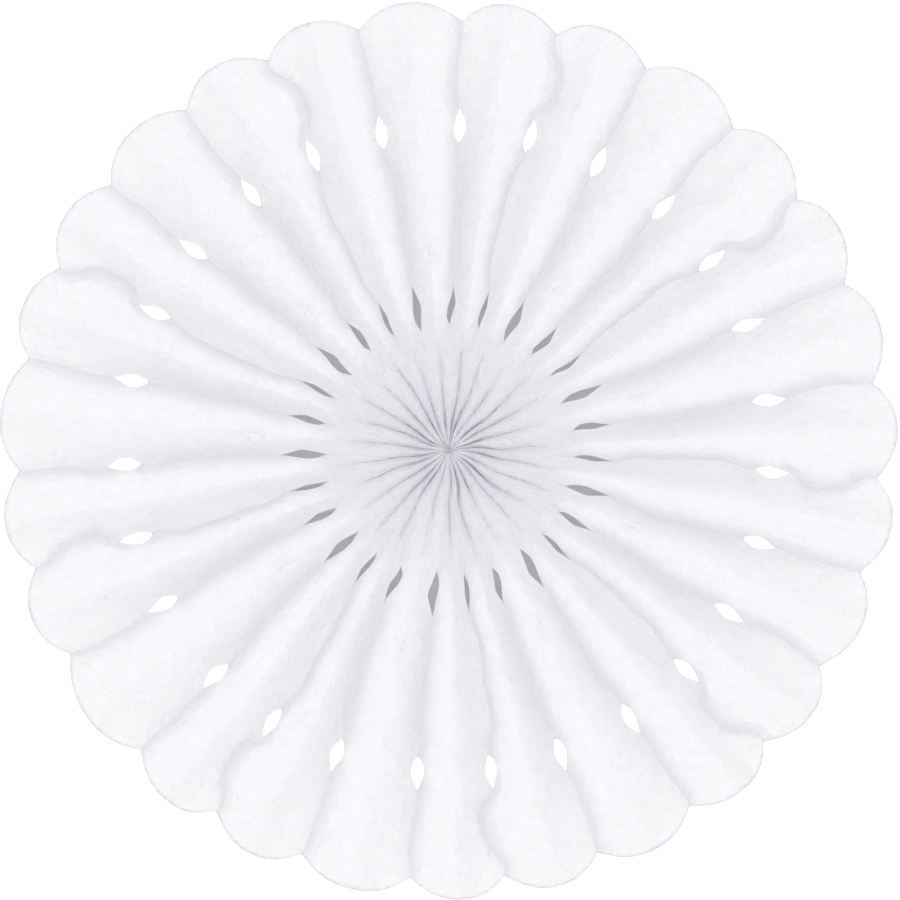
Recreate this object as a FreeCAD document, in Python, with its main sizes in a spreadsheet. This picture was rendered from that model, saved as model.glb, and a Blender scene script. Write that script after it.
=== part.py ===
import FreeCAD, Part
import math
import os
import Sketcher

V = FreeCAD.Vector

os.makedirs("parts", exist_ok=True)
doc = FreeCAD.newDocument("paper_fan_rosette")


# Sizes
# The fan lies on its back: the centre is the origin, +Z is up and looks out of the
# front, and the valley folds rest on z = 0. A valley fold runs down the middle of each
# petal, and the mountain folds between the petals carry the holes and slits.

sheet = doc.addObject("Spreadsheet::Sheet", "sizes")
SIZES = [
    ("fan_diameter", 406.4, "across two opposite petal tips, mm"),
    ("unit_count", 9, "groups of three petals round the fan"),
    ("rim_fold_height", 9.0, "depth of the pleats at the petal tips, mm"),
    ("panel_sag", 2.4, "how far a panel sags between its folds at the rim, mm"),
    ("paper_thickness", 0.2, "modelled thickness of the tissue, mm"),
    ("crease_share", 0.75, "thickness left in a pressed crease, share of the paper"),
    ("hub_layer_gap", 0.08, "air between two layers at the hub, mm"),
    ("scallop_depth", 10.8, "from a petal tip in to the notch, mm"),
    ("lens_to_notch", 48.1, "from a notch in to the middle of its hole, mm"),
    ("lens_length", 15.4, "length of the outer hole along its fold, mm"),
    ("lens_width", 5.2, "width of the outer hole, mm"),
    ("lens_flat", 5.0, "straight middle of the outer hole's sides, mm"),
    ("slit_ring_radius", 64.0, "from the centre to the middle of a slit, mm"),
    ("slit_kink", 2.4, "how far a slit's corners are staggered, mm"),
    ("wide_slit_length", 20.0, "mm"),
    ("wide_slit_width", 4.0, "mm"),
    ("middle_slit_length", 16.6, "mm"),
    ("middle_slit_width", 3.2, "mm"),
    ("narrow_slit_length", 17.4, "mm"),
    ("narrow_slit_width", 2.4, "mm"),
]
for row, (alias, number, note) in enumerate(SIZES, start=1):
    sheet.set(f"A{row}", alias)
    sheet.set(f"B{row}", str(number))
    sheet.set(f"C{row}", note)
    sheet.setAlias(f"B{row}", alias)
doc.recompute()


def size(alias):
    return float(getattr(sheet, alias))


# Values that follow from the sizes

PETALS_PER_UNIT = 3
BESIDE_CUT = 4.0
CLEAR_OF_RIM = 1.1
petal_count = PETALS_PER_UNIT * int(size("unit_count"))
half_pitch = math.pi / petal_count
rim_radius = size("fan_diameter") / 2
paper = size("paper_thickness")
crease = paper * size("crease_share")
rim_half_chord = rim_radius * math.tan(half_pitch)
hub_half_chord = paper + size("hub_layer_gap")
hub_radius = hub_half_chord / math.tan(half_pitch)
sag_rate = size("panel_sag") / (rim_half_chord - hub_half_chord)
pleat_width = math.sqrt(
    size("rim_fold_height") ** 2
    + rim_half_chord ** 2
    + 4 * size("panel_sag") ** 2
)


# The pleat: one mountain fold with a panel on each side, as far as the two valley
# folds that it shares with its neighbours. The paper keeps its width, so the fold is
# deep at the hub, where the layers lie almost face to face, and shallow at the rim.

def panel_slope(run, fall, half):
    """Slope of a strip whose one face clears a point by half its thickness."""
    reach = math.sqrt(fall ** 2 + run ** 2 - half ** 2)
    return (run * fall + half * reach) / (run ** 2 - half ** 2)


def section(y):
    """Front and back points of the right-hand panel, y along the mountain fold."""
    chord = y * math.tan(half_pitch)
    sag = sag_rate * (chord - hub_half_chord)
    straight = math.sqrt(pleat_width ** 2 - 4 * sag ** 2)
    top = math.sqrt(straight ** 2 - chord ** 2)
    mid_x = chord / 2 - sag * top / straight
    mid_z = top / 2 - sag * chord / straight
    upper = panel_slope(mid_x, top - crease - mid_z, paper / 2)
    lower = panel_slope(chord - mid_x, mid_z - crease, paper / 2)
    crest_flat = (paper * math.hypot(1, upper) - crease) / upper
    valley_flat = (paper * math.hypot(1, lower) - crease) / lower
    along = V(1, 0, -upper).normalize() + V(1, 0, -lower).normalize()
    across = V(-along.z, 0, along.x) * (paper / along.Length ** 2)
    middle = V(mid_x, y, mid_z)
    front = [
        V(crest_flat, y, top),
        middle + across,
        V(chord, y, crease),
    ]
    back = [
        V(0, y, top - crease),
        middle - across,
        V(chord - valley_flat, y, 0),
        V(chord, y, 0),
    ]
    return front, back


def mirror(points):
    return [V(-p.x, p.y, p.z) for p in points]


def flat_face(points):
    return Part.Face(Part.makePolygon(points + [points[0]]))


def strip(inner, outer):
    """Two flat triangles between two lines that may be twisted."""
    return [
        flat_face([inner[0], inner[1], outer[0]]),
        flat_face([inner[1], outer[1], outer[0]]),
    ]


def stations():
    """Distances along the fold where its line bends: beside each row of cuts."""
    notch = rim_radius - size("scallop_depth")
    slit_ring = size("slit_ring_radius")
    slit_reach = size("wide_slit_length") / 2 + BESIDE_CUT
    lens_ring = notch - size("lens_to_notch")
    lens_reach = size("lens_length") / 2 + BESIDE_CUT
    bends = [
        slit_ring - slit_reach,
        slit_ring + slit_reach,
        lens_ring - lens_reach,
        lens_ring + lens_reach,
        notch - BESIDE_CUT,
    ]
    return [hub_radius] + sorted(bends) + [rim_radius]


def pleat_blank():
    """Closed solid of one uncut pleat about the Y axis."""
    faces = []
    right = [section(y) for y in stations()]
    left = [(mirror(front), mirror(back)) for front, back in right]
    for side in (right, left):
        for (front, back), (next_front, next_back) in zip(side, side[1:]):
            for lines in (slice(0, 2), slice(1, 3)):
                faces += strip(front[lines], next_front[lines])
                faces += strip(back[lines], next_back[lines])
        valley_top = [front[2] for front, back in side]
        valley_under = [back[3] for front, back in side]
        valley_rest = [back[2] for front, back in side]
        faces.append(flat_face(valley_top + valley_under[::-1]))
        faces.append(flat_face(valley_under + valley_rest[::-1]))
    crest = [(front[0], other[0]) for (front, back), (other, under) in zip(right, left)]
    for (a, b), (c, d) in zip(crest, crest[1:]):
        faces.append(flat_face([a, b, d, c]))
    for end in (0, -1):
        front, back = right[end]
        other, under = left[end]
        faces.append(flat_face(front + back[::-1] + under[1:] + other[::-1]))
    return Part.Solid(Part.makeShell(faces))


blank = doc.addObject("Part::Feature", "pleat_blank")
blank.Shape = pleat_blank()


# The folded sheet

body = doc.addObject("PartDesign::Body", "pleated_tissue")
body.Label = "pleated_tissue"
body.BaseFeature = blank
doc.recompute()
planes = {o.Role: o for o in body.Origin.OriginFeatures}

# Expressions that the cuts share, all on the mountain fold over the Y axis.
HALF_PITCH = f"(180 deg / ({PETALS_PER_UNIT} * sizes.unit_count))"
RIM = "(sizes.fan_diameter / 2)"
NOTCH = f"({RIM} - sizes.scallop_depth)"
RISE = f"({RIM} - {NOTCH} * cos({HALF_PITCH}))"
HALF_SPAN = f"({NOTCH} * sin({HALF_PITCH}))"
SCALLOP_RADIUS = f"(({HALF_SPAN} ^ 2 + {RISE} ^ 2) / (2 * {RISE}))"
LENS_MIDDLE = f"({NOTCH} - sizes.lens_to_notch)"


def value(expression):
    """What an expression gives with the present sizes."""
    found = body.evalExpression(expression)
    return float(getattr(found, "Value", found))


def cut_sketch(name):
    drawing = body.newObject("Sketcher::SketchObject", name)
    drawing.AttachmentSupport = [(planes["XY_Plane"], "")]
    drawing.MapMode = "FlatFace"
    return drawing


def dimension(drawing, kind, refs, expression, name):
    """A dimension of a sketch that follows the sizes."""
    constraint = Sketcher.Constraint(kind, *refs, value(expression))
    drawing.renameConstraint(drawing.addConstraint(constraint), name)
    drawing.setExpression(f"Constraints.{name}", expression)


def rule(drawing, kind, *refs):
    drawing.addConstraint(Sketcher.Constraint(kind, *refs))


def outline(drawing, points):
    """Straight edges through the points and back to the first."""
    pairs = zip(points, points[1:] + points[:1])
    edges = [drawing.addGeometry(Part.LineSegment(a, b), False) for a, b in pairs]
    for edge, following in zip(edges, edges[1:] + edges[:1]):
        rule(drawing, "Coincident", edge, 2, following, 1)
    return edges


def cut(name, drawing):
    """A cut right through the sheet, forwards from the plane it rests on."""
    before = body.Tip.Shape.Volume
    pocket = body.newObject("PartDesign::Pocket", name)
    pocket.Profile = drawing
    pocket.Type = "ThroughAll"
    pocket.Reversed = True
    pocket.Refine = False
    drawing.Visibility = False
    doc.recompute()
    if not pocket.Shape.Volume < before:
        raise RuntimeError(f"{name} cuts nothing")


def scallop_sketch():
    """Everything outside the two petal arcs that meet in the notch."""
    drawing = cut_sketch("scallop_outline")
    radius = value(SCALLOP_RADIUS)
    turn = math.asin(value(HALF_SPAN) / radius)
    if value(RISE) > radius:
        turn = math.pi - turn
    out = rim_radius - radius
    arcs = []
    for side in (1, -1):
        centre = V(side * out * math.sin(half_pitch), out * math.cos(half_pitch), 0)
        middle = math.pi / 2 - side * half_pitch
        circle = Part.Circle(centre, V(0, 0, 1), radius)
        petal = Part.ArcOfCircle(circle, middle - turn, middle + turn)
        arcs.append(drawing.addGeometry(petal, False))
    right, left = arcs
    notch = value(NOTCH)
    side = notch * math.sin(2 * half_pitch)
    low = notch * math.cos(2 * half_pitch)
    top = rim_radius * CLEAR_OF_RIM
    corners = [V(side, low, 0), V(side, top, 0), V(-side, top, 0), V(-side, low, 0)]
    edges = [
        drawing.addGeometry(Part.LineSegment(a, b), False)
        for a, b in zip(corners, corners[1:])
    ]
    right_edge, top_edge, left_edge = edges
    rule(drawing, "Coincident", right, 2, left, 1)
    rule(drawing, "Coincident", right, 1, right_edge, 1)
    rule(drawing, "Coincident", right_edge, 2, top_edge, 1)
    rule(drawing, "Coincident", top_edge, 2, left_edge, 1)
    rule(drawing, "Coincident", left_edge, 2, left, 2)
    rule(drawing, "PointOnObject", right, 2, -2)
    rule(drawing, "Vertical", right_edge)
    rule(drawing, "Vertical", left_edge)
    rule(drawing, "Symmetric", right, 3, left, 3, -2)
    rule(drawing, "Symmetric", top_edge, 1, top_edge, 2, -2)
    centre_out = f"({RIM} - {SCALLOP_RADIUS})"
    dimension(drawing, "DistanceY", (-1, 1, right, 2), NOTCH, "notch")
    dimension(drawing, "DistanceX", (-1, 1, right, 3),
              f"{centre_out} * sin({HALF_PITCH})", "centre_across")
    dimension(drawing, "DistanceY", (-1, 1, right, 3),
              f"{centre_out} * cos({HALF_PITCH})", "centre_along")
    dimension(drawing, "DistanceX", (-1, 1, right, 1),
              f"{NOTCH} * sin(2 * {HALF_PITCH})", "next_notch")
    dimension(drawing, "DistanceY", (-1, 1, top_edge, 1), f"{RIM} * {CLEAR_OF_RIM}", "clear")
    return drawing


def leaf_sketch(name, corners, pleat=0):
    """A pointed hole on a mountain fold, so many pleats clockwise of the Y axis.

    Each corner is its side (-1 left, 0 on the fold, 1 right), its distance from the
    fold and its distance from the centre, both as expressions.
    """
    drawing = cut_sketch(f"{name}_outline")
    drawing.setExpression("AttachmentOffset.Rotation.Angle", f"-{2 * pleat} * {HALF_PITCH}")
    points = [V(side * value(across), value(along), 0) for side, across, along in corners]
    edges = outline(drawing, points)
    for number, (edge, (side, across, along)) in enumerate(zip(edges, corners), start=1):
        dimension(drawing, "DistanceY", (-1, 1, edge, 1), along, f"along_{number}")
        if side == 0:
            rule(drawing, "PointOnObject", edge, 1, -2)
        else:
            ends = (-1, 1, edge, 1) if side > 0 else (edge, 1, -1, 1)
            dimension(drawing, "DistanceX", ends, across, f"across_{number}")
    return drawing


def lens_sketch():
    """The outer hole, with two straight sides between its points."""
    width = "sizes.lens_width / 2"
    outer = f"{LENS_MIDDLE} + sizes.lens_flat / 2"
    inner = f"{LENS_MIDDLE} - sizes.lens_flat / 2"
    corners = [
        (0, "0", f"{LENS_MIDDLE} + sizes.lens_length / 2"),
        (-1, width, outer),
        (-1, width, inner),
        (0, "0", f"{LENS_MIDDLE} - sizes.lens_length / 2"),
        (1, width, inner),
        (1, width, outer),
    ]
    return leaf_sketch("lens_hole", corners)


def slit_sketch(kind, pleat):
    """A slit with a flat side and a cornered side between its points."""
    ring = "sizes.slit_ring_radius"
    width = f"sizes.{kind}_slit_width / 2"
    half = f"sizes.{kind}_slit_length / 2"
    corners = [
        (0, "0", f"{ring} + {half}"),
        (-1, width, ring),
        (-1, width, f"{ring} - 2 * sizes.slit_kink"),
        (0, "0", f"{ring} - {half}"),
        (1, width, f"{ring} + sizes.slit_kink / 2"),
    ]
    return leaf_sketch(f"{kind}_slit", corners, pleat)


def turned_copies(name, count, angle):
    """Copies of the whole sheet so far, turned clockwise about the centre."""
    pattern = body.newObject("PartDesign::PolarPattern", name)
    pattern.TransformMode = "Whole shape"
    pattern.Axis = (planes["Z_Axis"], [""])
    pattern.Mode = "Spacing"
    pattern.Reversed = True
    pattern.Refine = False
    pattern.setExpression("Offset", angle)
    pattern.setExpression("Occurrences", count)
    body.Tip = pattern
    doc.recompute()


cut("scallop", scallop_sketch())
cut("lens_hole", lens_sketch())
turned_copies("petal_unit", str(PETALS_PER_UNIT), f"2 * {HALF_PITCH}")
for pleat, kind in enumerate(("middle", "narrow", "wide")):
    cut(f"{kind}_slit", slit_sketch(kind, pleat))
turned_copies("full_ring", "sizes.unit_count", "360 deg / sizes.unit_count")


# Check and write

doc.recompute()
for item in doc.Objects:
    for flag in ("Invalid", "Error"):
        if flag in item.State:
            raise RuntimeError(f"{item.Name} is not sound")
if body.Shape.isNull() or not body.Shape.isValid():
    raise RuntimeError(f"{body.Label} has no sound solid")
if len(body.Shape.Solids) != 1:
    raise RuntimeError(f"{body.Label} is not one solid")
body.Shape.exportStep(f"parts/{body.Label}.step")
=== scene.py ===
"""Looks of the paper fan rosette: one pleated sheet of tissue on a white table."""

import logging
import math
from dataclasses import dataclass, field
from enum import Enum

import bpy
import numpy as np
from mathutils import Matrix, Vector


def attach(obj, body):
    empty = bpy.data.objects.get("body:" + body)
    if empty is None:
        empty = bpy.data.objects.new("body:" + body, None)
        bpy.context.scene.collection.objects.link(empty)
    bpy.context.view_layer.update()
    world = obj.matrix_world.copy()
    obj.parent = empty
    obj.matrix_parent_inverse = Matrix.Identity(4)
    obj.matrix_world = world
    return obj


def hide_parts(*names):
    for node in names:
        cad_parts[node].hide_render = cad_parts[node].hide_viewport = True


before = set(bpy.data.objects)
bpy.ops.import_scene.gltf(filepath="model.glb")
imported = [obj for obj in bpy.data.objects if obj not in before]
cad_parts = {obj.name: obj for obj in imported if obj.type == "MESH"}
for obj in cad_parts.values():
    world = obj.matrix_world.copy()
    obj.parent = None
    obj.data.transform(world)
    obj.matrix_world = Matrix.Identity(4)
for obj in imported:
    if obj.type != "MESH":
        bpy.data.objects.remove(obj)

log = logging.getLogger("paper_fan_rosette")

MM = 0.001
PETALS_PER_UNIT = 3
VALLEY = 0.5


def smooth(low: float, high: float, value: np.ndarray) -> np.ndarray:
    """Ease from 0 to 1 between two limits.

    Args:
        low: where the ease starts.
        high: where it ends.
        value: the values to ease.

    Returns:
        The eased values, from 0 to 1.
    """
    share = np.clip((value - low) / (high - low), 0.0, 1.0)
    return share * share * (3.0 - 2.0 * share)


def hump(middle: float, reach: float, value: np.ndarray) -> np.ndarray:
    """A rounded hump of height 1.

    Args:
        middle: where the hump is highest.
        reach: how far it spreads to each side.
        value: where to read it.

    Returns:
        The height of the hump at each value.
    """
    return np.exp(-(((value - middle) / reach) ** 2))


def seen_directly(tree: bpy.types.NodeTree) -> bpy.types.NodeSocket:
    """Whether a surface is seen by the camera, in a reflection or through glass.

    Args:
        tree: the material's or world's node tree, which gets the nodes.

    Returns:
        A socket that is 1 there and 0 for light that falls on the object.
    """
    path = tree.nodes.new("ShaderNodeLightPath")
    seen = path.outputs["Is Camera Ray"]
    for kind in ("Is Glossy Ray", "Is Transmission Ray"):
        either = tree.nodes.new("ShaderNodeMath")
        either.operation = "MAXIMUM"
        tree.links.new(seen, either.inputs[0])
        tree.links.new(path.outputs[kind], either.inputs[1])
        seen = either.outputs["Value"]
    return seen


class MountainFold(Enum):
    """The three mountain folds of a unit, clockwise, by how they were pressed."""

    SOFT = 0
    MEANDERING = 1
    SHARP = 2


@dataclass(frozen=True)
class Slit:
    """A slit near the hub, with a flat edge and a cornered one."""

    length: float
    width: float
    flat_edge: float = 4.8 * MM
    corner_offset: float = 1.2 * MM

    def half_width(self, out: np.ndarray, side: int) -> np.ndarray:
        """Distance of one edge from the fold.

        Args:
            out: distance outwards from the slit's middle.
            side: -1 for the counter-clockwise edge, 1 for the clockwise one.

        Returns:
            Half widths, zero beyond the slit's points.
        """
        half = self.length / 2
        if side < 0:
            corners = [(-half, 0.0), (-self.flat_edge, 1.0), (0.0, 1.0), (half, 0.0)]
        else:
            corners = [(-half, 0.0), (self.corner_offset, 1.0), (half, 0.0)]
        places, shares = zip(*corners)
        return np.interp(out, places, shares) * self.width / 2


@dataclass(frozen=True)
class LensHole:
    """The pointed oval hole near the rim."""

    length: float = 15.4 * MM
    width: float = 5.4 * MM
    fullness: float = 1.8

    def half_width(self, out: np.ndarray, side: int) -> np.ndarray:
        """Distance of one edge from the fold.

        Args:
            out: distance outwards from the hole's middle.
            side: which edge; both are alike, so it is not used.

        Returns:
            Half widths, zero beyond the hole's points.
        """
        share = np.clip(np.abs(out) / (self.length / 2), 0.0, 1.0)
        return (1.0 - share ** self.fullness) * self.width / 2


@dataclass(frozen=True)
class PetalForm:
    """How the two panels of a petal bow between its mountain folds and its valley."""

    fall: float
    rise: float
    fall_straight: float
    rise_straight: float

    def height(self, across: np.ndarray, flatness: np.ndarray) -> np.ndarray:
        """Height of the paper as a share of the mountain fold's.

        Args:
            across: 0 on the first fold, 0.5 in the valley, 1 on the next fold.
            flatness: 0 where panels are straight, 1 where they bow fully.

        Returns:
            Heights from 0 to 1.
        """
        from_valley = np.abs(2.0 * across - 1.0)
        falling = across < VALLEY
        power = np.where(falling, self.fall, self.rise)
        straight = np.where(falling, self.fall_straight, self.rise_straight)
        straight = 1.0 - (1.0 - straight) * flatness
        power = 1.0 + (power - 1.0) * flatness
        return straight * from_valley + (1.0 - straight) * from_valley ** power


@dataclass(frozen=True)
class Wrinkles:
    """Smooth seeded irregularity made of random waves."""

    seed: int
    shortest: float
    longest: float
    waves: int = 48
    line_waves: int = 8

    def field(self, x: np.ndarray, y: np.ndarray) -> np.ndarray:
        """Irregularity over a plane.

        Args:
            x: first coordinate.
            y: second coordinate.

        Returns:
            Values of about -1 to 1.
        """
        draw = np.random.default_rng(self.seed)
        total = np.zeros(np.broadcast(x, y).shape)
        for _ in range(self.waves):
            length = draw.uniform(self.shortest, self.longest)
            heading = draw.uniform(0.0, math.tau)
            phase = draw.uniform(0.0, math.tau)
            turn = math.tau / length
            total += np.sin(turn * (x * math.cos(heading) + y * math.sin(heading)) + phase)
        return total / math.sqrt(self.waves)

    def line(self, place: np.ndarray, lane: int) -> np.ndarray:
        """Irregularity along a line.

        Args:
            place: position on the line.
            lane: which line, so that each differs.

        Returns:
            Values of about -1 to 1.
        """
        draw = np.random.default_rng((self.seed, lane))
        total = np.zeros_like(place)
        for _ in range(self.line_waves):
            length = draw.uniform(self.shortest, self.longest)
            total += np.sin(math.tau * place / length + draw.uniform(0.0, math.tau))
        return total / math.sqrt(self.line_waves)


@dataclass(frozen=True)
class Grain:
    """Size and make-up of one layer of noise in the paper."""

    scale: float
    detail: float
    roughness: float

    def texture(self, tree: bpy.types.NodeTree,
                place: bpy.types.NodeSocket) -> bpy.types.NodeSocket:
        """The noise as nodes.

        Args:
            tree: the material's node tree.
            place: where on the object to read the noise.

        Returns:
            The noise's value.
        """
        noise = tree.nodes.new("ShaderNodeTexNoise")
        noise.inputs["Scale"].default_value = self.scale
        noise.inputs["Detail"].default_value = self.detail
        noise.inputs["Roughness"].default_value = self.roughness
        tree.links.new(place, noise.inputs["Vector"])
        return noise.outputs["Fac"]


@dataclass(frozen=True)
class TissueFinish:
    """White crinkled tissue paper that lets some light through."""

    tint: tuple[float, float, float, float] = (0.97, 0.967, 0.99, 1.0)
    shade: tuple[float, float, float, float] = (0.935, 0.937, 0.945, 1.0)
    shade_below: float = 0.36
    tint_above: float = 0.62
    clearness: float = 0.12
    roughness: float = 0.85
    specular: float = 0.15
    mottle: Grain = Grain(210.0, 7.0, 0.72)
    fibre: Grain = Grain(900.0, 3.0, 0.7)
    crinkle: Grain = Grain(260.0, 4.0, 0.6)
    fibre_depth: float = 0.15 * MM
    fibre_strength: float = 0.25
    crinkle_depth: float = 1.6 * MM
    crinkle_strength: float = 0.8

    def material(self) -> bpy.types.Material:
        """The node material.

        Returns:
            A matte, slightly translucent paper with mottling, crinkles and fibres.
        """
        made = bpy.data.materials.new("tissue_paper")
        made.use_nodes = True
        tree = made.node_tree
        tree.nodes.clear()
        place = tree.nodes.new("ShaderNodeTexCoord").outputs["Object"]
        colour = self._mottled(tree, place)
        relief = self._relief(tree, self.fibre.texture(tree, place),
                              self.fibre_strength, self.fibre_depth)
        relief = self._relief(tree, self.crinkle.texture(tree, place),
                              self.crinkle_strength, self.crinkle_depth, relief)

        paper = tree.nodes.new("ShaderNodeBsdfPrincipled")
        paper.inputs["Roughness"].default_value = self.roughness
        paper.inputs["Specular IOR Level"].default_value = self.specular
        through = tree.nodes.new("ShaderNodeBsdfTranslucent")
        mix = tree.nodes.new("ShaderNodeMixShader")
        mix.inputs["Fac"].default_value = self.clearness
        output = tree.nodes.new("ShaderNodeOutputMaterial")
        tree.links.new(colour, paper.inputs["Base Color"])
        tree.links.new(colour, through.inputs["Color"])
        tree.links.new(relief, paper.inputs["Normal"])
        tree.links.new(relief, through.inputs["Normal"])
        tree.links.new(paper.outputs["BSDF"], mix.inputs[1])
        tree.links.new(through.outputs["BSDF"], mix.inputs[2])
        tree.links.new(mix.outputs["Shader"], output.inputs["Surface"])
        return made

    def _mottled(self, tree: bpy.types.NodeTree,
                 place: bpy.types.NodeSocket) -> bpy.types.NodeSocket:
        """The paper's cloudy colour.

        Args:
            tree: the material's node tree.
            place: where on the object to read it.

        Returns:
            The colour.
        """
        ramp = tree.nodes.new("ShaderNodeValToRGB")
        darker, lighter = ramp.color_ramp.elements
        darker.position = self.shade_below
        darker.color = self.shade
        lighter.position = self.tint_above
        lighter.color = self.tint
        tree.links.new(self.mottle.texture(tree, place), ramp.inputs["Fac"])
        return ramp.outputs["Color"]

    @staticmethod
    def _relief(tree: bpy.types.NodeTree, height: bpy.types.NodeSocket, strength: float,
                depth: float, under: bpy.types.NodeSocket | None = None) -> bpy.types.NodeSocket:
        """One layer of relief on another.

        Args:
            tree: the material's node tree.
            height: the relief's height.
            strength: how much it shows.
            depth: its depth in metres.
            under: the normal of the layer before it, if any.

        Returns:
            The new normal.
        """
        bump = tree.nodes.new("ShaderNodeBump")
        bump.inputs["Strength"].default_value = strength
        bump.inputs["Distance"].default_value = depth
        tree.links.new(height, bump.inputs["Height"])
        if under is not None:
            tree.links.new(under, bump.inputs["Normal"])
        return bump.outputs["Normal"]


@dataclass(frozen=True)
class TableFinish:
    """White table whose open part looks as white as the backdrop, with a painted shadow under the
    hub.
    """

    colour: tuple[float, float, float, float] = (0.86, 0.86, 0.87, 1.0)
    # Painted shadow: inside this radius the camera sees the table glow only at the hub level,
    # grey as if in shadow under the hub.
    painted_shadow_radius: float = 84.0 * MM
    bright_radius: float = 120.0 * MM
    painted_shadow_glow: float = 0.12
    open_glow: float = 0.78

    def material(self) -> bpy.types.Material:
        """The node material.

        Returns:
            A matte white that glows for the camera alone, less under the hub, where the dimmer
            glow is a painted shadow.
        """
        made = bpy.data.materials.new("white_table_painted_shadow")
        made.use_nodes = True
        tree = made.node_tree
        tree.nodes.clear()
        output = tree.nodes.new("ShaderNodeOutputMaterial")
        base = tree.nodes.new("ShaderNodeBsdfDiffuse")
        base.inputs["Color"].default_value = self.colour
        glow = tree.nodes.new("ShaderNodeEmission")
        both = tree.nodes.new("ShaderNodeAddShader")
        gate = tree.nodes.new("ShaderNodeMath")
        gate.operation = "MULTIPLY"
        tree.links.new(self._glow_with_painted_shadow(tree), gate.inputs[0])
        tree.links.new(seen_directly(tree), gate.inputs[1])
        tree.links.new(gate.outputs["Value"], glow.inputs["Strength"])
        tree.links.new(base.outputs["BSDF"], both.inputs[0])
        tree.links.new(glow.outputs["Emission"], both.inputs[1])
        tree.links.new(both.outputs["Shader"], output.inputs["Surface"])
        return made

    def _glow_with_painted_shadow(self, tree: bpy.types.NodeTree) -> bpy.types.NodeSocket:
        """The table's own light, less under the hub than in the open; the dimmer glow under the
        hub is a painted shadow, so the table looks grey through the slits.

        Args:
            tree: the material's node tree.

        Returns:
            The strength of the light.
        """
        place = tree.nodes.new("ShaderNodeNewGeometry")
        length = tree.nodes.new("ShaderNodeVectorMath")
        length.operation = "LENGTH"
        # Painted shadow: the glow falls to the hub level towards the centre and stands in for the
        # shadow under the fan's hub.
        spread = tree.nodes.new("ShaderNodeMapRange")
        spread.interpolation_type = "SMOOTHSTEP"
        spread.inputs["From Min"].default_value = self.painted_shadow_radius
        spread.inputs["From Max"].default_value = self.bright_radius
        spread.inputs["To Min"].default_value = self.painted_shadow_glow
        spread.inputs["To Max"].default_value = self.open_glow
        tree.links.new(place.outputs["Position"], length.inputs[0])
        tree.links.new(length.outputs["Value"], spread.inputs["Value"])
        return spread.outputs["Result"]


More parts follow.
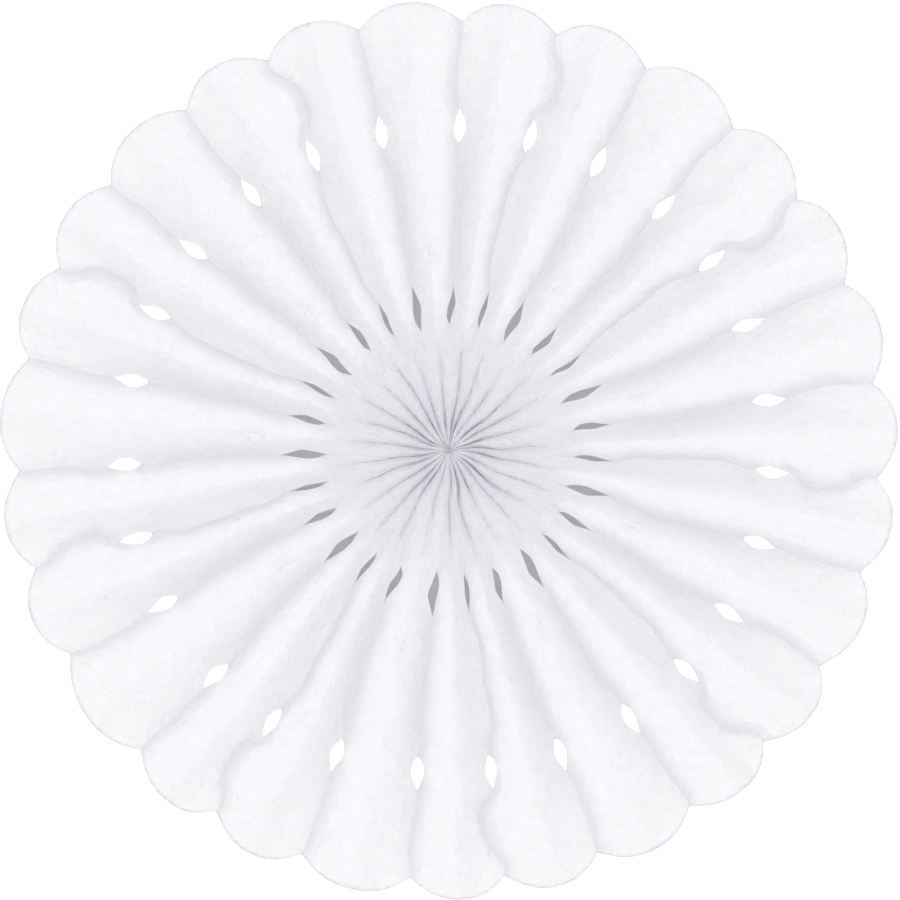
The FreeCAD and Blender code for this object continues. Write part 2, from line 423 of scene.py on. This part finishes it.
@dataclass
class PleatedSheet:
    """The folded and cut sheet, petal by petal round the fan."""

    fan_radius: float = 203.2 * MM
    unit_count: int = 9
    rim_fold_height: float = 9.0 * MM
    panel_sag: float = 2.4 * MM
    scallop_depth: float = 10.8 * MM
    hub_radius: float = 0.25 * MM
    paper_thickness: float = 0.08 * MM
    slit_ring: float = 64.0 * MM
    lens_ring: float = 144.6 * MM
    lens: LensHole = field(default_factory=LensHole)
    slits: dict[MountainFold, Slit] = field(default_factory=lambda: {
        MountainFold.SOFT: Slit(16.6 * MM, 3.3 * MM),
        MountainFold.MEANDERING: Slit(17.4 * MM, 2.5 * MM),
        MountainFold.SHARP: Slit(20.4 * MM, 4.1 * MM),
    })
    forms: dict[MountainFold, PetalForm] = field(default_factory=lambda: {
        MountainFold.SOFT: PetalForm(1.8, 9.0, 0.3, 0.0),
        MountainFold.MEANDERING: PetalForm(1.8, 8.0, 0.35, 0.05),
        MountainFold.SHARP: PetalForm(2.4, 8.0, 0.3, 0.0),
    })
    leans: dict[MountainFold, tuple[float, float]] = field(default_factory=lambda: {
        MountainFold.SOFT: (0.5, -0.5),
        MountainFold.MEANDERING: (-1.3, 2.4),
        MountainFold.SHARP: (0.7, 0.2),
    })
    inner_lean_reach: tuple[float, ...] = (74.0 * MM, 86.0 * MM, 122.0 * MM, 135.0 * MM)
    outer_lean_reach: tuple[float, ...] = (153.0 * MM, 164.0 * MM, 173.0 * MM, 190.0 * MM)
    tuck: float = 0.22
    tuck_power: float = 1.5
    valley_lean_reach: tuple[float, float] = (18.0 * MM, 44.0 * MM)
    bow_reach: tuple[float, float] = (28.0 * MM, 90.0 * MM)
    valley_lean: dict[MountainFold, float] = field(default_factory=lambda: {
        MountainFold.SOFT: 0.16,
        MountainFold.MEANDERING: -0.04,
        MountainFold.SHARP: 0.02,
    })
    unit_turn: tuple[float, ...] = (1.33, 0.97, 0.47, -0.37, -0.77, -0.4, 1.03, 1.97, 1.93)
    hub_turn: tuple[float, ...] = (-0.5, 0.07, -0.1, -1.07, 0.13, 2.3, 1.1, -0.3, -0.7)
    fold_turn: tuple[float, ...] = (0.6, -0.1, -0.5)
    crease_reach: tuple[float, float] = (150.0 * MM, 172.0 * MM)
    tip_lift: dict[MountainFold, float] = field(default_factory=lambda: {
        MountainFold.SOFT: 2.6 * MM,
        MountainFold.MEANDERING: 3.8 * MM,
        MountainFold.SHARP: 2.8 * MM,
    })
    rise_lift_share: float = 0.12
    tip_panel: float = 0.2
    tip_panel_end: float = 0.48
    pin_ring: float = 89.0 * MM
    pin_length: float = 10.0 * MM
    pin_lift: float = 1.4 * MM
    pin_beside: float = 0.035
    pin_width: float = 0.03
    knot_gather: float = 0.8
    knot_reach: tuple[float, float] = (2.0 * MM, 15.0 * MM)
    hub_uneven: float = 0.055
    stray_turn: float = 2.4
    hub_swirl: float = -0.05
    swirl_reach: float = 26.0 * MM
    fold_wobble: float = 0.42 * MM
    wobble_start: float = 9.0 * MM
    wobble_waves: Wrinkles = Wrinkles(5, 14.0 * MM, 60.0 * MM)
    hub_gather: float = 0.72
    gather_reach: tuple[float, float] = (14.0 * MM, 158.0 * MM)
    groove_depth: float = 0.08
    groove_width: float = 0.09
    groove_ring: float = 36.0 * MM
    groove_length: float = 40.0 * MM
    broad_waves: Wrinkles = Wrinkles(11, 16.0 * MM, 60.0 * MM)
    broad_lift: float = 0.45 * MM
    fine_waves: Wrinkles = Wrinkles(12, 5.0 * MM, 14.0 * MM)
    fine_lift: float = 0.16 * MM
    crinkle_reach: tuple[float, float] = (20.0 * MM, 120.0 * MM)
    ripples: Wrinkles = Wrinkles(13, 6.0 * MM, 15.0 * MM)
    ripple_lift: float = 0.42 * MM
    ripple_span: float = 50.0 * MM
    ripple_reach: tuple[float, float] = (120.0 * MM, 160.0 * MM)
    ripple_middle: float = 0.22
    ripple_width: float = 0.16
    table_clearance: float = 0.12 * MM
    hub_crowding: float = 1.4
    rim_crowding: float = 1.3
    crease_angle: float = 38.0
    rows_to_slit: int = 26
    rows_in_slit: int = 10
    rows_between: int = 20
    rows_in_lens: int = 10
    rows_to_rim: int = 20
    columns: tuple[float, ...] = (0.0, 0.02, 0.06, 0.12, 0.2, 0.3, 0.4, 0.47, 0.5,
                                  0.53, 0.6, 0.7, 0.8, 0.88, 0.94, 0.98, 1.0)

    @property
    def fold_count(self) -> int:
        """How many mountain folds go round the fan."""
        return self.unit_count * PETALS_PER_UNIT

    @property
    def half_pitch(self) -> float:
        """Half the angle between two mountain folds."""
        return math.pi / self.fold_count

    def fold_height(self, radius: np.ndarray) -> np.ndarray:
        """Height of a mountain fold above the table.

        Args:
            radius: distance from the centre.

        Returns:
            Heights, from the paper's constant width.
        """
        rim_chord = self.fan_radius * math.tan(self.half_pitch)
        width = math.sqrt(self.rim_fold_height ** 2 + rim_chord ** 2 + 4 * self.panel_sag ** 2)
        chord = radius * math.tan(self.half_pitch)
        sag = self.panel_sag * chord / rim_chord
        return np.sqrt(width ** 2 - 4 * sag ** 2 - chord ** 2)

    def kind(self, fold: int) -> MountainFold:
        """Which of the three folds of a unit this one is."""
        return MountainFold(fold % PETALS_PER_UNIT)

    def row_radii(self, fold: int) -> np.ndarray:
        """Distances of the rows from the centre along one mountain fold.

        Args:
            fold: the fold's number.

        Returns:
            One distance for each row, with the holes' points on rows of their own.
        """
        slit = self.slits[self.kind(fold)]
        notch = self.fan_radius - self.scallop_depth
        marks = [
            self.hub_radius,
            self.slit_ring - slit.length / 2,
            self.slit_ring + slit.length / 2,
            self.lens_ring - self.lens.length / 2,
            self.lens_ring + self.lens.length / 2,
            notch,
        ]
        counts = [self.rows_to_slit, self.rows_in_slit, self.rows_between,
                  self.rows_in_lens, self.rows_to_rim]
        runs = [marks[:1]]
        for start, end, count in zip(marks, marks[1:], counts):
            share = np.linspace(0.0, 1.0, count + 1)[1:]
            if start == self.hub_radius:
                share = share ** self.hub_crowding
            runs.append(start + (end - start) * share)
        return np.concatenate(runs)

    def fold_angle(self, fold: int, radius: np.ndarray) -> np.ndarray:
        """Direction of a mountain fold, clockwise from +Y.

        Args:
            fold: the fold's number; the count itself gives the first fold again.
            radius: distances from the centre.

        Returns:
            Angles in radians.
        """
        unit = (fold // PETALS_PER_UNIT) % self.unit_count
        member = fold % PETALS_PER_UNIT
        inward = 1.0 - smooth(self.slit_ring, self.lens_ring, radius)
        turn = (self.unit_turn[unit] + self.fold_turn[member]
                + self.hub_turn[unit] * inward)
        lane = fold % self.fold_count
        wobble = self.wobble_waves.line(radius, lane)
        wobble = wobble * self.fold_wobble / np.maximum(radius, self.wobble_start)
        stray = self.hub_uneven * math.sin(self.stray_turn * lane * lane + lane)
        swirl = (self.hub_swirl + stray) * (1.0 - smooth(0.0, self.swirl_reach, radius))
        return 2 * self.half_pitch * fold + np.radians(turn) + wobble + swirl

    def flop(self, fold: int, radius: np.ndarray) -> np.ndarray:
        """How far a fold leans clockwise out of its direction.

        Args:
            fold: the fold's number.
            radius: distances from the centre.

        Returns:
            Angles in radians, zero at the holes.
        """
        inner_lean, outer_lean = self.leans[self.kind(fold)]
        start, full, ease, end = self.inner_lean_reach
        inner = smooth(start, full, radius) * (1.0 - smooth(ease, end, radius))
        start, full, ease, end = self.outer_lean_reach
        outer = smooth(start, full, radius) * (1.0 - smooth(ease, end, radius))
        return np.radians(inner_lean * inner + outer_lean * outer)

    def petal(self, fold: int) -> np.ndarray:
        """Points of the petal between one mountain fold and the next.

        Args:
            fold: the number of the fold on its counter-clockwise side.

        Returns:
            Points as rows by columns by three coordinates.
        """
        radius, across = self._grid(fold)
        angle = self._direction(fold, radius, across)
        height = self._height(fold, radius, angle, across)
        x = radius * np.sin(angle)
        y = radius * np.cos(angle)
        return np.stack([x, y, height], axis=-1)

    def _grid(self, fold: int) -> tuple[np.ndarray, np.ndarray]:
        """Where the petal's rows and columns lie, with the holes' edges between columns.

        Args:
            fold: the number of the fold on its counter-clockwise side.

        Returns:
            Distances from the centre, and places across the petal from 0 to 1.
        """
        following = fold + 1
        first = self.row_radii(fold)[:, None]
        second = self.row_radii(following)[:, None]
        columns = np.array(self.columns)[None, :]
        radius = first * (1.0 - columns) + second * columns

        pitch = 2 * self.half_pitch
        gap_first = self._hole(fold, first, 1) / (pitch * first)
        gap_second = self._hole(following, second, -1) / (pitch * second)
        near = gap_first + (VALLEY - gap_first) * columns / VALLEY
        far = 1.0 - gap_second - (VALLEY - gap_second) * (1.0 - columns) / VALLEY
        return self._to_scallop(radius, columns), np.where(columns < VALLEY, near, far)

    def _direction(self, fold: int, radius: np.ndarray, across: np.ndarray) -> np.ndarray:
        """Directions of the petal's points, clockwise from +Y.

        Args:
            fold: the number of the fold on its counter-clockwise side.
            radius: distances from the centre.
            across: places across the petal.

        Returns:
            Angles in radians.
        """
        following = fold + 1
        start = self.fold_angle(fold, radius)
        end = self.fold_angle(following, radius)
        valley_lean = self.valley_lean[self.kind(fold)]
        lean = valley_lean * (1.0 - smooth(*self.valley_lean_reach, radius))
        place = across + lean * np.sin(math.pi * across)
        angle = start * (1.0 - place) + end * place
        tucked = (1.0 - smooth(0.0, self.tuck, across)) ** self.tuck_power
        angle = angle + self.flop(fold, radius) * tucked
        return angle + self.flop(following, radius) * smooth(VALLEY, 1.0, across)

    def _height(self, fold: int, radius: np.ndarray, angle: np.ndarray,
                across: np.ndarray) -> np.ndarray:
        """Heights of the petal's points above the table.

        Args:
            fold: the number of the fold on its counter-clockwise side.
            radius: distances from the centre.
            angle: directions.
            across: places across the petal.

        Returns:
            Heights.
        """
        kind = self.kind(fold)
        gathered = self._gathered(radius, across)
        bowed = self.forms[kind].height(across, smooth(*self.bow_reach, radius))
        height = self.fold_height(radius) * (gathered + (1.0 - gathered) * bowed)
        height = height + self._tip_crease(kind, radius, across)
        return self._crinkle(radius, angle, across, height)

    def _gathered(self, radius: np.ndarray, across: np.ndarray) -> np.ndarray:
        """How far the valleys rise where the paper is gathered at the hub.

        Args:
            radius: distances from the centre.
            across: places across the petal.

        Returns:
            Shares of the mountain folds' height.
        """
        broad = self.hub_gather * (1.0 - smooth(*self.gather_reach, radius))
        knot = self.knot_gather * (1.0 - smooth(*self.knot_reach, radius))
        nearness = hump(self.groove_ring, self.groove_length / 2, radius)
        groove = self.groove_depth * nearness * hump(VALLEY, self.groove_width, across)
        return (broad + (1.0 - broad) * knot) * (1.0 - groove)

    def _tip_crease(self, kind: MountainFold, radius: np.ndarray,
                    across: np.ndarray) -> np.ndarray:
        """Lift that leaves the valley as a crisp crease at the petal's tip and by its pin mark.

        Args:
            kind: the fold on the petal's counter-clockwise side.
            radius: distances from the centre.
            across: places across the petal.

        Returns:
            Extra heights.
        """
        beside = np.abs(across - VALLEY)
        tip = smooth(*self.crease_reach, radius) * self.tip_lift[kind]
        panel = np.where(across < VALLEY, 1.0, self.rise_lift_share)
        slope = np.minimum(beside / self.tip_panel, 1.0)
        lift = tip * panel * slope * (1.0 - smooth(self.tip_panel, self.tip_panel_end, beside))
        if kind is MountainFold.SHARP:
            pinch = hump(self.pin_ring, self.pin_length / 2, radius)
            lift = lift + self.pin_lift * pinch * hump(self.pin_beside, self.pin_width, beside)
        return lift

    def _to_scallop(self, radius: np.ndarray, columns: np.ndarray) -> np.ndarray:
        """Stretch the outer rows to the petal's round edge.

        Args:
            radius: the rows' distances, with the rim at the notch.
            columns: places across the petal.

        Returns:
            The distances, with the last row on the scallop.
        """
        notch = self.fan_radius - self.scallop_depth
        rise = self.fan_radius - notch * math.cos(self.half_pitch)
        span = notch * math.sin(self.half_pitch)
        scallop = (span ** 2 + rise ** 2) / (2 * rise)
        centre = self.fan_radius - scallop
        off = (2.0 * columns - 1.0) * self.half_pitch
        edge = centre * np.cos(off) + np.sqrt(scallop ** 2 - (centre * np.sin(off)) ** 2)
        start = self.lens_ring
        share = np.clip((radius - start) / (notch - start), 0.0, 1.0)
        return radius + (edge - notch) * share ** self.rim_crowding

    def _hole(self, fold: int, radius: np.ndarray, side: int) -> np.ndarray:
        """How far the holes' edge is from their fold.

        Args:
            fold: the fold's number.
            radius: distances along it.
            side: -1 counter-clockwise of it, 1 clockwise.

        Returns:
            Distances, zero where the paper is whole.
        """
        slit = self.slits[self.kind(fold)]
        return (slit.half_width(radius - self.slit_ring, side)
                + self.lens.half_width(radius - self.lens_ring, side))

    def _crinkle(self, radius: np.ndarray, angle: np.ndarray, across: np.ndarray,
                 height: np.ndarray) -> np.ndarray:
        """Add the small unevenness of handled tissue.

        Args:
            radius: distances from the centre.
            angle: directions.
            across: places across the petal.
            height: the smooth heights.

        Returns:
            Heights that stay above the table and keep the folds.
        """
        x = radius * np.sin(angle)
        y = radius * np.cos(angle)
        between_folds = np.sqrt(np.sin(math.pi * across))
        size = smooth(*self.crinkle_reach, radius) * between_folds
        ripples = self.ripples.field(radius, angle * self.ripple_span)
        rippled = (smooth(*self.ripple_reach, radius)
                   * hump(self.ripple_middle, self.ripple_width, across))
        lift = (self.broad_lift * self.broad_waves.field(x, y) * size
                + self.fine_lift * self.fine_waves.field(x, y) * size
                + self.ripple_lift * ripples * rippled)
        return np.maximum(height + lift, self.table_clearance)

    def build(self) -> bpy.types.Object:
        """The whole sheet as one mesh.

        Returns:
            The new object, with its place in its mesh.
        """
        petals = np.stack([self.petal(fold) for fold in range(self.fold_count)])
        count, rows, columns, _ = petals.shape
        seam = self._seam_rows(rows)
        whole = ~seam
        shared = (petals[:, :, 0] + np.roll(petals, 1, axis=0)[:, :, -1]) / 2
        petals[:, whole, 0] = shared[:, whole]
        petals[:, whole, -1] = np.roll(shared, -1, axis=0)[:, whole]

        index = np.arange(count * rows * columns).reshape(count, rows, columns)
        joined = index.copy()
        for petal in range(count):
            after = (petal + 1) % count
            joined[petal, whole, -1] = index[after, whole, 0]
        quads = np.stack([joined[:, :-1, :-1], joined[:, :-1, 1:],
                          joined[:, 1:, 1:], joined[:, 1:, :-1]], axis=-1).reshape(-1, 4)
        used, faces = np.unique(quads, return_inverse=True)
        points = petals.reshape(-1, 3)[used]
        mesh = bpy.data.meshes.new("folded_tissue")
        mesh.from_pydata(points.tolist(), [], faces.reshape(-1, 4)[:, ::-1].tolist())
        mesh.update()
        mesh.polygons.foreach_set("use_smooth", [True] * len(mesh.polygons))
        mesh.set_sharp_from_angle(angle=math.radians(self.crease_angle))
        made = bpy.data.objects.new("folded_tissue", mesh)
        bpy.context.scene.collection.objects.link(made)
        return made

    def _seam_rows(self, rows: int) -> np.ndarray:
        """Rows that lie inside a hole, where the two petals part.

        Args:
            rows: how many rows there are.

        Returns:
            True for each row between a hole's two points.
        """
        parted = np.zeros(rows, bool)
        slit_start = self.rows_to_slit
        lens_start = slit_start + self.rows_in_slit + self.rows_between
        parted[slit_start + 1:slit_start + self.rows_in_slit] = True
        parted[lens_start + 1:lens_start + self.rows_in_lens] = True
        return parted

    def thicken(self, sheet: bpy.types.Object) -> None:
        """Give the sheet the thickness of its paper.

        Args:
            sheet: the flat-faced sheet.
        """
        solid = sheet.modifiers.new("paper_thickness", "SOLIDIFY")
        solid.thickness = self.paper_thickness
        solid.offset = 0.0
        solid.use_even_offset = False

    def dress(self, sheet: bpy.types.Object, finish: TissueFinish) -> None:
        """Put the finish on and hang the sheet in the frame.

        Args:
            sheet: the sheet.
            finish: its paper.
        """
        sheet.data.materials.append(finish.material())
        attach(sheet, "root")
        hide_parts("pleated_tissue")


@dataclass
class Studio:
    """Table, soft level light and the camera straight above."""

    table_size: float = 3.0
    white: tuple[float, float, float, float] = (1.0, 1.0, 1.0, 1.0)
    sky: float = 0.8
    backdrop: float = 1.0
    lamp: float = 0.87
    lamp_rise: float = 1.5
    lamp_spread: float = 50.0
    lens: float = 120.0
    sensor: float = 36.0
    bounces: int = 32
    frame_width: float = 406.4 * MM
    frame_shift: float = 0.68 * MM

    def lay_table(self, finish: TableFinish) -> bpy.types.Object:
        """The table top under the fan.

        Args:
            finish: its material.

        Returns:
            The table.
        """
        half = self.table_size / 2
        corners = [(-half, -half, 0.0), (half, -half, 0.0), (half, half, 0.0), (-half, half, 0.0)]
        mesh = bpy.data.meshes.new("table")
        mesh.from_pydata(corners, [], [(0, 1, 2, 3)])
        mesh.materials.append(finish.material())
        table = bpy.data.objects.new("table", mesh)
        bpy.context.scene.collection.objects.link(table)
        return table

    def light(self) -> None:
        """Light the fan evenly, with enough bounces for white grooves."""
        cycles = bpy.context.scene.cycles
        cycles.max_bounces = self.bounces
        cycles.diffuse_bounces = self.bounces
        cycles.transmission_bounces = self.bounces
        self._hang_sky()
        self._hang_lamp()

    def _hang_sky(self) -> None:
        """A plain sky that the camera sees as full white."""
        world = bpy.data.worlds.new("studio")
        bpy.context.scene.world = world
        world.use_nodes = True
        tree = world.node_tree
        sky = tree.nodes["Background"]
        sky.inputs["Color"].default_value = self.white
        level = tree.nodes.new("ShaderNodeMapRange")
        level.inputs["To Min"].default_value = self.sky
        level.inputs["To Max"].default_value = self.backdrop
        tree.links.new(seen_directly(tree), level.inputs["Value"])
        tree.links.new(level.outputs["Result"], sky.inputs["Strength"])

    def _hang_lamp(self) -> None:
        """One broad lamp straight overhead."""
        lamp = bpy.data.lights.new("overhead", "SUN")
        lamp.energy = self.lamp
        lamp.angle = math.radians(self.lamp_spread)
        holder = bpy.data.objects.new("overhead", lamp)
        holder.location = (0.0, 0.0, self.lamp_rise)
        bpy.context.scene.collection.objects.link(holder)

    def place_camera(self) -> bpy.types.Object:
        """The camera straight above the fan.

        Returns:
            The camera, with +Y up in its picture.
        """
        view = bpy.data.cameras.new("above")
        view.lens = self.lens
        view.sensor_width = self.sensor
        camera = bpy.data.objects.new("above", view)
        rise = self.frame_width * self.lens / self.sensor
        camera.location = (self.frame_shift, 0.0, rise)
        bpy.context.scene.collection.objects.link(camera)
        bpy.context.scene.camera = camera
        return camera


def main() -> None:
    """Build the fan and its studio."""
    logging.basicConfig(level=logging.INFO, format="%(name)s: %(message)s")
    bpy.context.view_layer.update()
    bpy.context.scene.view_settings.view_transform = "Standard"

    pleats = PleatedSheet()
    sheet = pleats.build()
    pleats.thicken(sheet)
    pleats.dress(sheet, TissueFinish())
    log.info("folded tissue: %d points, %d faces", len(sheet.data.vertices),
             len(sheet.data.polygons))

    studio = Studio()
    studio.lay_table(TableFinish())
    studio.light()
    studio.place_camera()
    log.info("studio: table, sky, overhead lamp and camera")


if __name__ == "__main__":
    main()
